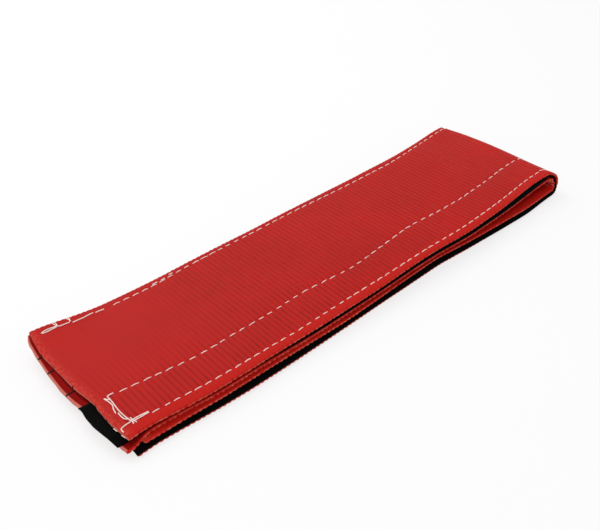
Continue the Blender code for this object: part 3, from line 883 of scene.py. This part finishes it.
def thread_material(name):
    """Bonded polyester sewing thread: nearly white, slightly shiny, with plies that turn once in 0.9 mm."""
    colours = settings()[1]
    material, tree = new_material(name)
    along = add(tree, "ShaderNodeAttribute", attribute_name="along").outputs["Fac"]
    turn = add(tree, "ShaderNodeMath", {0: along, 1: 2 * math.pi / 0.0009}, operation="MULTIPLY")
    ply = add(tree, "ShaderNodeMath", {0: turn}, operation="SINE")
    tone = add(tree, "ShaderNodeMapRange", {0: ply, 1: -1.0, 2: 1.0})
    colour = add(tree, "ShaderNodeMix", {0: tone, 6: linear(colours.thread_deep), 7: linear(colours.thread)},
                 data_type="RGBA")
    relief = add(tree, "ShaderNodeBump", {"Height": ply, "Strength": 0.4, "Distance": 0.0001})
    shader = add(tree, "ShaderNodeBsdfPrincipled", {"Base Color": colour, "Roughness": 0.5, "Normal": relief})
    add(tree, "ShaderNodeOutputMaterial", {"Surface": shader})
    return material


def floor_material(name):
    """Matt painted board: seen nearly white, with the object's shadow on it."""
    colours = settings()[1]
    material, tree = new_material(name)
    place = add(tree, "ShaderNodeTexCoord").outputs["Object"]
    grain = add(tree, "ShaderNodeTexNoise", {"Vector": place, "Scale": 40.0})
    rough = add(tree, "ShaderNodeMapRange", {0: grain, 3: 0.85, 4: 0.95})
    shader = add(tree, "ShaderNodeBsdfPrincipled", {
        "Base Color": linear(colours.floor), "Roughness": rough, "Specular IOR Level": 0.0})
    # To the eye it is mostly a lit white sweep, and wholly one from 3 m away, where it would turn grey.
    sweep = add(tree, "ShaderNodeEmission", {"Color": (1, 1, 1, 1), "Strength": 1.0})
    away = add(tree, "ShaderNodeVectorMath", {0: place}, operation="LENGTH")
    white = add(tree, "ShaderNodeMapRange", {0: away, 1: 0.8, 2: 3.0, 3: 0.72, 4: 1.0})
    seen = add(tree, "ShaderNodeMath", {0: eye_rays(tree), 1: white}, operation="MULTIPLY")
    both = add(tree, "ShaderNodeMixShader", {0: seen, 1: shader, 2: sweep})
    add(tree, "ShaderNodeOutputMaterial", {"Surface": both})
    return material


def eye_rays(tree):
    """1 for what the camera sees, straight, in a reflection or through glass."""
    rays = add(tree, "ShaderNodeLightPath")
    seen = add(tree, "ShaderNodeMath", {0: rays.outputs["Is Camera Ray"], 1: rays.outputs["Is Glossy Ray"]},
               operation="MAXIMUM")
    return add(tree, "ShaderNodeMath", {0: seen, 1: rays.outputs["Is Transmission Ray"]}, operation="MAXIMUM")


# The material of each slot: its name, what makes it, and for a tape its sheen after the size and the depth of
# its hooks or loops in metres. On the real tape they are finer, and wouldn't show in the render.
MATERIALS = {
    "coated_webbing": ("coated_polyester_webbing", webbing_material),
    "hook_tape": ("nylon_hook_tape", tape_material, 0.0013, 0.0004, 0.02),
    "loop_tape": ("nylon_loop_tape", tape_material, 0.0008, 0.0003, 0.04),
    "sewing_thread": ("bonded_polyester_thread", thread_material),
    "floor": ("matt_white_board", floor_material),
}


def settings():
    """The sizes and the colours that are set in the sidebar."""
    scene = bpy.context.scene
    return scene.sleeve_sizes, scene.sleeve_colours


def material_of(slot):
    """The material of a slot, made when it is first needed."""
    name, make, *values = MATERIALS[slot]
    return bpy.data.materials.get(name) or make(name, *values)


# Pieces

# Where the peeled part of the outer panel starts on the lower half, and stops on the upper half.
PEEL_LOWER = 0.97
PEEL_UPPER = ROUTE_END - PEEL_LOWER

# Each panel's stretches: where each starts and stops along the route, None for a cut, and how the names of
# the CAD nodes end that it takes the place of.
STRETCHES = {
    "outer": {
        "lower": (None, PEEL_LOWER, ("lower",)),
        "fold_lower": (PEEL_LOWER, BEND_TOP, ("fold_lower", "fold_middle")),
        "fold_upper": (BEND_TOP, PEEL_UPPER, ("fold_upper",)),
        "upper": (PEEL_UPPER, None, ("upper",)),
    },
    "inner": {
        "fold_lower": (None, BEND_TOP, ("lower", "fold_middle")),
        "fold_upper": (BEND_TOP, None, ("upper",)),
    },
}


def reach_of_blends():
    """The bodies on either side of each stretch, and the line from one to the other."""
    peel_start, peel_stop = [(FOLD_X - LOOP_HEIGHT_NEAR / 2 - run, 0, 0) for run in PEEL_RUN]
    diagonal = Vector((1, 0, 1)) / 2
    across_fold = Vector((-1, 0, 1)) / 2
    pivot = Vector((FOLD_X, 0, 0))
    return {
        "lower": ("lower_outer", "lower_inner", peel_start, peel_stop),
        "fold_lower": ("lower_inner", "fold_link", *[pivot + diagonal * run for run in LOWER_BEND]),
        "fold_upper": ("fold_link", "upper_inner", *[pivot + across_fold * run for run in UPPER_BEND]),
        "upper": ("upper_inner", "upper_outer", peel_stop, peel_start),
    }


def nodes_of(prefix, panel, stretch, rows=1):
    """The CAD nodes of a stretch. Of two rows of stitches, each has its own nodes by the fold."""
    return [f"{prefix}_{part}{row}" for part in STRETCHES[panel][stretch][2]
            for row in (("_near", "_far") if rows == 2 and "fold" in part else ("",))]


def limits(drape, panel, stretch, back=(0.0, 0.0)):
    """Where a stretch starts and stops along the route, with its cuts moved back by so many metres."""
    start, stop = STRETCHES[panel][stretch][:2]
    low, high = drape.cut[panel]
    return (low + back[0] / drape.straight if start is None else start,
            high - back[1] / drape.straight if stop is None else stop)


def hang(piece, nodes):
    """Hides the CAD nodes that a piece takes the place of, and bakes its place into its mesh."""
    if nodes:
        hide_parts(*nodes)
    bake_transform(piece)


def panel_piece(drape, panel, stretch):
    """One stretch of a webbing panel, with its ribs."""
    sizes = drape.sizes
    start, stop = limits(drape, panel, stretch)
    low, high = drape.run(panel, np.array([start, stop]))
    ribs = max(2, round((high - low) / sizes.rib_pitch))
    count = np.arange(ribs * STATIONS_PER_RIB + 1) / STATIONS_PER_RIB
    u = drape.place_of(panel, low + (high - low) * count / ribs)
    u[0], u[-1] = start, stop
    ends = (start == drape.cut[panel][0], stop == drape.cut[panel][1])
    piece = slab(f"{panel}_webbing_{stretch}", drape, panel, u, count, across(drape), drape.thick, SELVEDGE,
                 ends)
    cloth = material_of("coated_webbing")
    piece.data.materials.append(cloth)
    tree = bpy.data.node_groups.get("Webbing ribs") or ribs_tree()
    grow(piece, tree, {"Rib Height": sizes.rib_height, "Scallop": sizes.scallop, "Material": cloth})
    hang(piece, nodes_of(f"{panel}_panel", panel, stretch))


# The web along the sewn edge: for each half, the places along the route where its pieces start and stop, then
# its points from side to side, and how far its two faces lie in from the edge. It is 2.6 mm wide, part of the
# seam rather than a sheet of its own, so it isn't declared as one.
WEB_STOPS = {"lower": (0.026, 0.54, 0.97), "upper": (2.03, 2.25, 2.455, 2.70, 2.90, 2.955, 2.999)}
WEB_ROWS = 12
WEB_INSETS = (0.0012, 0.0017)


def web_piece(drape, half, number, start, stop):
    """A narrow web between the sewn selvedges of the two panels, hidden when closed."""
    skin = drape.thick / 2
    depth = np.linspace(skin, drape.inner_depth(np.array(drape.half)) + skin, WEB_ROWS)
    count = max(2, round((stop - start) * drape.straight / WEB_STEP))
    u = np.linspace(start, stop, count + 1)[:, None]
    points = drape.point("outer", u, drape.half - np.repeat(WEB_INSETS, WEB_ROWS),
                         np.concatenate([depth, depth[::-1]]))
    ring = 2 * WEB_ROWS
    caps = [list(range(ring)), list(range(count * ring, (count + 1) * ring))[::-1]]
    faces = ring_faces(count + 1, ring) + caps
    piece = new_piece(f"sewn_edge_web_{half}_{number}", points, faces=faces, closed=True)
    # All its faces take the inside colour and its painted shade, so the web shows as a shaded groove between
    # the panels.
    mark(piece.data, "FACE", inside=np.ones(len(faces)))
    runs = np.repeat(drape.run("outer", u.ravel()), ring)
    unwrap(piece.data, runs, np.full(len(runs), drape.half))
    piece.data.materials.append(material_of("coated_webbing"))
    # The weights by which the web would follow the outer panel on one side and the inner panel on the other
    # are worked out here, but nothing uses them.
    body, other, low, high = reach_of_blends()["lower"]
    if half == "upper":
        body, other = "upper_outer", "upper_inner"
    height = depth[-1] - depth[0]
    tilt, level = np.polyfit(points[:, 0, 0], points[:, 0, 2], 1)
    if points[:, 0, 0].mean() > low[0]:
        along, steep, offset = 1 / (high[0] - low[0]), 1 / height, -low[0] / (high[0] - low[0])
    else:
        steep = 4 / height
        along, offset = 0.0, 0.5 - steep * height / 2
    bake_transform(piece)


def strip_piece(drape, kind, stretch):
    """One stretch of hook or loop tape, sewn to the inside face of its panel."""
    panel = PANEL_OF[kind]
    reach = -TAPE_REACH.get((kind, stretch), 0.0)
    start, stop = limits(drape, panel, stretch, (reach, reach))
    low, high = drape.run(panel, np.array([start, stop]))
    count = max(8, round((high - low) / TAPE_STEP))
    u = drape.place_of(panel, np.linspace(low, high, count + 1))
    u[0], u[-1] = start, stop
    y = np.linspace(drape.strip_near, drape.strip_far, TAPE_LINES)
    y = np.concatenate([[y[0], y[0] + TAPE_EDGE_LINE], y[1:-1], [y[-1] - TAPE_EDGE_LINE, y[-1]]])
    slot = f"{kind}_tape"
    piece = slab(f"{slot}_{stretch}", drape, kind, u, np.zeros(len(u)), y, drape.tape, TAPE_SELVEDGE,
                 (False, False))
    piece.data.materials.append(material_of(slot))
    hang(piece, nodes_of(f"{kind}_strip", panel, stretch))


def face_points(drape, panel, u, y):
    """Points on the face of a panel that is seen when the sleeve is closed, and the way out of it at each."""
    depth = drape.base(panel, y) + (0 if panel == "outer" else drape.thick)
    here = drape.point(panel, u, y, depth)
    step = 1e-4
    along = drape.point(panel, u + step, y, depth) - here
    side = drape.point(panel, u, y + step, depth) - here
    out = np.cross(along, side)
    out /= np.linalg.norm(out, axis=1)[:, None]
    inward = drape.point(panel, u, y, depth + step) - here
    sign = np.sign((out * inward).sum(axis=1))[:, None] * (-1 if panel == "outer" else 1)
    return here, out * sign


def thread_piece(piece, tree, values, nodes):
    """Turns points or lines into thread."""
    thread = material_of("sewing_thread")
    grow(piece, tree, {"Width": settings()[0].thread_width, "Material": thread, **values})
    piece.data.shade_smooth()
    hang(piece, nodes)


# How far the stitches keep from a cut, and from the upper outer panel's, where lengths of thread lie instead.
ROW_BACK = 0.004
ROW_START = {"near": 0.029, "far": 0.019, "seam": 0.068}

# How far a stitch is out of its place, as a share of the pitch, and how much further in the inner panel's
# near row is sewn. Between two places along the sleeve the seam's stitches are longer, by the third number.
STITCH_DRIFT = 0.07
INNER_NEAR_INSET = 0.003
LONG_STITCHES = (-0.094, -0.066, 1.4)


def row_along(drape, panel, stretch, row):
    """Places of the stitches of a row, and how long each is."""
    start, stop = limits(drape, panel, stretch, (ROW_BACK, ROW_START[row] if panel == "outer" else ROW_BACK))
    low, high = drape.run(panel, np.array([start, stop]))
    steps = np.arange(-10, 180)
    rng = np.random.default_rng(len(row) + len(panel))
    drift = rng.uniform(-STITCH_DRIFT, STITCH_DRIFT, len(steps))
    run = (steps + drift) * getattr(drape.sizes, f"{row}_pitch")
    run = run[(run >= low) & (run < high)]
    u = drape.place_of(panel, run)
    x = drape.x_of(u)
    first, last, longer = LONG_STITCHES
    stretched = (row == "seam") & (panel == "outer") & (u > BEND_TOP) & (x > first) & (x < last)
    inset = INNER_NEAR_INSET if panel == "inner" and row == "near" else 0.0
    return u, drape.row(row, u) + inset, np.where(stretched, longer, 1.0)


def stitch_piece(drape, name, prefix, panel, rows, stretch):
    """The stitches of one or two rows, along one stretch of a panel."""
    u, y, long = np.concatenate([row_along(drape, panel, stretch, row) for row in rows], axis=1)
    here, out = face_points(drape, panel, u, y)
    there = face_points(drape, panel, u + 1e-3, y)[0]
    piece = new_piece(f"{name}_{stretch}", here)
    mark(piece.data, "POINT", out=out, way=there - here, long=long)
    tree = bpy.data.node_groups.get("Stitches") or stitches_tree()
    values = {"Length": drape.sizes.stitch_length, "Rise": drape.sizes.thread_width / 2}
    thread_piece(piece, tree, values, nodes_of(prefix, panel, stretch, len(rows)))


# Lengths of thread: how far apart their points are, how high they lie over the webbing, and how many times as
# wide as a stitch they are.
LENGTH_STEP = 0.001
LENGTH_RISE = 0.0004
LENGTH_WIDTH = 1.15


def lengths_piece(drape, name, lines):
    """Lengths of thread on the outer face of the upper outer panel, beside its cut end."""
    points, outs, edges = [], [], []
    first = 0
    for line in lines:
        x, y, depth = np.array([tuple(place) + (0,) * (3 - len(place)) for place in line]).T / 1000
        gone = np.concatenate([[0], np.cumsum(np.hypot(np.diff(x), np.diff(y)) + np.abs(np.diff(depth)))])
        at = np.linspace(0, gone[-1], max(4, round(gone[-1] / LENGTH_STEP)) + 1)
        soft = np.hanning(7)[1:-1]
        x, y, depth = [np.convolve(np.pad(np.interp(at, gone, v), 2, mode="edge"), soft / soft.sum(), "valid")
                       for v in (x, y, depth)]
        bend_x = FOLD_X - drape.loop_height(y) / 2
        u = ROUTE_END - (x - END_X) / (bend_x - END_X)
        points.append(drape.point("outer", u, y, depth))
        outs.append(face_points(drape, "outer", u, np.clip(y, -drape.half, drape.half - 0.0002))[1])
        edges += [(first + i, first + i + 1) for i in range(len(u) - 1)]
        first += len(u)
    piece = new_piece(name, np.concatenate(points), edges)
    mark(piece.data, "POINT", out=np.concatenate(outs))
    tree = bpy.data.node_groups.get("Thread lengths") or lengths_tree()
    values = {"Rise": LENGTH_RISE, "Width": LENGTH_WIDTH * drape.sizes.thread_width}
    thread_piece(piece, tree, values, ())


# Sewn rows: the piece's name, its CAD nodes' prefix, its panel and its rows.
SEWN = (
    ("hook_tape_stitches", "hook_stitching", "outer", ("near", "far")),
    ("edge_seam", "edge_seam_thread", "outer", ("seam",)),
    ("loop_tape_stitches", "loop_stitching", "inner", ("near", "far")),
    ("edge_seam_back", "edge_seam_back_thread", "inner", ("seam",)),
)

# Thread beside the upper cut end, as millimetres along the sleeve, across the panel and into it: the tape's
# rows are joined across by two strands and knotted at the near corner, and the seam starts doubled and is
# whipped twice.
TAPE_THREADS = (
    ((-239.0, -28.7), (-233.1, -29.3)),
    ((-239.0, -28.6), (-238.8, -36.2), (-239.4, -45.2), (-239.5, -55.2), (-238.8, -62.4)),
    ((-242.4, -29.0), (-241.0, -34.0), (-240.2, -40.0), (-241.7, -43.0), (-242.6, -49.0)),
    ((-242.3, -29.4), (-240.6, -31.8), (-239.3, -34.0)),
    ((-241.0, -49.1), (-241.5, -54.0), (-241.3, -58.0), (-238.6, -60.2)),
    ((-237.3, -59.3), (-237.2, -63.3), (-236.1, -66.8)),
    ((-239.5, -61.0), (-238.0, -64.0), (-239.4, -66.6)),
    ((-239.0, -62.3), (-231.0, -62.9), (-223.4, -63.6)),
    ((-238.6, -63.9), (-231.0, -64.4), (-223.4, -64.3)),
    ((-239.3, -63.2), (-244.0, -62.9), (-249.0, -63.4), (-249.5, -65.5), (-249.2, -68.0)),
    ((-250.7, -66.0, 2.9), (-250.2, -71.0, 2.9)),
    ((-250.9, -56.8, 2.9), (-250.8, -61.8, 2.9)),
)
SEAM_THREADS = (
    ((-242.4, 68.0), (-238.5, 69.3), (-234.1, 69.4), (-228.0, 69.2)),
    ((-242.2, 67.8), (-239.6, 67.0), (-234.9, 67.5), (-228.3, 68.5)),
    ((-228.3, 68.8), (-225.0, 68.0), (-221.1, 68.3), (-217.0, 68.2)),
    ((-228.0, 68.6), (-227.2, 71.0), (-227.8, 74.0), (-228.0, 75.2, 0.8), (-228.2, 75.3, 2.2)),
    ((-227.4, 68.6), (-229.2, 71.5), (-229.8, 74.2), (-229.9, 75.2, 0.8), (-229.9, 75.3, 2.2)),
    ((-217.0, 68.4), (-215.4, 71.5), (-215.3, 74.2), (-215.2, 75.2, 0.8), (-215.3, 75.3, 2.2)),
    ((-215.6, 69.0), (-216.6, 72.0), (-217.2, 74.4), (-217.2, 75.2, 0.8), (-217.2, 75.3, 2.2)),
    ((-215.5, 66.6), (-210.0, 67.3), (-205.3, 67.3), (-200.0, 68.4), (-195.0, 68.6)),
    ((-194.2, 67.6), (-190.0, 67.9), (-185.4, 67.2)),
    ((-137.0, 69.0), (-131.0, 69.3)),
    ((-127.5, 69.2), (-123.0, 69.4)),
    ((-118.0, 70.8), (-113.5, 71.0)),
)


class SLEEVE_OT_panels(bpy.types.Operator):
    """Makes the outer and the inner webbing panel, and the web of their seam"""

    bl_idname = "sleeve.panels"
    bl_label = "Webbing panels"

    def execute(self, context):
        drape = Drape(settings()[0])
        for panel, stretches in STRETCHES.items():
            for stretch in stretches:
                panel_piece(drape, panel, stretch)
        for half, stops in WEB_STOPS.items():
            for number, (start, stop) in enumerate(zip(stops, stops[1:]), 1):
                web_piece(drape, half, number, start, stop)
        return {"FINISHED"}


class SLEEVE_OT_tapes(bpy.types.Operator):
    """Makes the hook tape and the loop tape"""

    bl_idname = "sleeve.tapes"
    bl_label = "Hook and loop tape"

    def execute(self, context):
        drape = Drape(settings()[0])
        for kind in ("hook", "loop"):
            for stretch in STRETCHES[PANEL_OF[kind]]:
                strip_piece(drape, kind, stretch)
        return {"FINISHED"}


class SLEEVE_OT_stitches(bpy.types.Operator):
    """Makes the edge seam and the rows that hold the tapes"""

    bl_idname = "sleeve.stitches"
    bl_label = "Stitches"

    def execute(self, context):
        drape = Drape(settings()[0])
        for name, prefix, panel, rows in SEWN:
            for stretch in STRETCHES[panel]:
                stitch_piece(drape, name, prefix, panel, rows, stretch)
        lengths_piece(drape, "hook_tape_thread_ends", TAPE_THREADS)
        lengths_piece(drape, "edge_seam_thread_ends", SEAM_THREADS)
        return {"FINISHED"}


class SLEEVE_OT_stage(bpy.types.Operator):
    """Sets the floor, the light and the camera"""

    bl_idname = "sleeve.stage"
    bl_label = "Stage"

    def execute(self, context):
        scene = context.scene
        low, high = -FLOOR_REACH, FLOOR_REACH
        corners = [(x, y, FLOOR_Z) for x, y in ((low, low), (high, low), (high, high), (low, high))]
        floor = new_piece("studio_floor", corners, faces=[(0, 1, 2, 3)])
        floor.data.materials.append(material_of("floor"))
        world = bpy.data.worlds.new("studio")
        world.use_nodes = True
        tree = world.node_tree
        tree.nodes.clear()
        soft = add(tree, "ShaderNodeBackground", {"Color": (1, 1, 1, 1), "Strength": WORLD_LIGHT})
        white = add(tree, "ShaderNodeBackground", {"Color": (1, 1, 1, 1), "Strength": 1.0})
        mixed = add(tree, "ShaderNodeMixShader", {0: eye_rays(tree), 1: soft, 2: white})
        add(tree, "ShaderNodeOutputWorld", {"Surface": mixed})
        scene.world = world
        for name, place, size, power in LAMPS:
            lamp = bpy.data.lights.new(name, "AREA")
            lamp.shape = "SQUARE"
            lamp.size = size
            lamp.energy = power
            light = bpy.data.objects.new(name, lamp)
            light.location = place
            light.rotation_euler = (-Vector(place)).to_track_quat("-Z", "Y").to_euler()
            scene.collection.objects.link(light)
        eye = bpy.data.cameras.new("photo_view")
        eye.lens = CAMERA_LENS
        eye.sensor_width = CAMERA_SENSOR
        camera = bpy.data.objects.new("photo_view", eye)
        turn = (Matrix.Rotation(math.radians(CAMERA_HEADING), 4, "Z")
                @ Matrix.Rotation(math.radians(90 - CAMERA_DOWN), 4, "X")
                @ Matrix.Rotation(math.radians(CAMERA_ROLL), 4, "Z"))
        camera.matrix_world = Matrix.Translation(CAMERA_PLACE) @ turn
        scene.collection.objects.link(camera)
        scene.camera = camera
        scene.view_settings.view_transform = "Standard"
        return {"FINISHED"}


class SLEEVE_PT_sidebar(bpy.types.Panel):
    """Sizes, colours and the pieces of the sleeve"""

    bl_label = "Wear sleeve"
    bl_idname = "SLEEVE_PT_sidebar"
    bl_space_type = "VIEW_3D"
    bl_region_type = "UI"
    bl_category = "Wear sleeve"

    def draw(self, context):
        for group in (context.scene.sleeve_sizes, context.scene.sleeve_colours):
            for name in group.__annotations__:
                self.layout.prop(group, name)
        for step in STEPS:
            self.layout.operator(step.bl_idname)


STEPS = (SLEEVE_OT_stage, SLEEVE_OT_panels, SLEEVE_OT_tapes, SLEEVE_OT_stitches)
GROUPS = (SleeveSizes, SleeveColours)


def register():
    for kind in GROUPS + STEPS + (SLEEVE_PT_sidebar,):
        bpy.utils.register_class(kind)
    bpy.types.Scene.sleeve_sizes = bpy.props.PointerProperty(type=SleeveSizes)
    bpy.types.Scene.sleeve_colours = bpy.props.PointerProperty(type=SleeveColours)


def unregister():
    del bpy.types.Scene.sleeve_sizes
    del bpy.types.Scene.sleeve_colours
    for kind in reversed(GROUPS + STEPS + (SLEEVE_PT_sidebar,)):
        bpy.utils.unregister_class(kind)


def main():
    register()
    bpy.ops.sleeve.stage()
    bpy.ops.sleeve.panels()
    bpy.ops.sleeve.tapes()
    bpy.ops.sleeve.stitches()


if __name__ == "__main__":
    main()
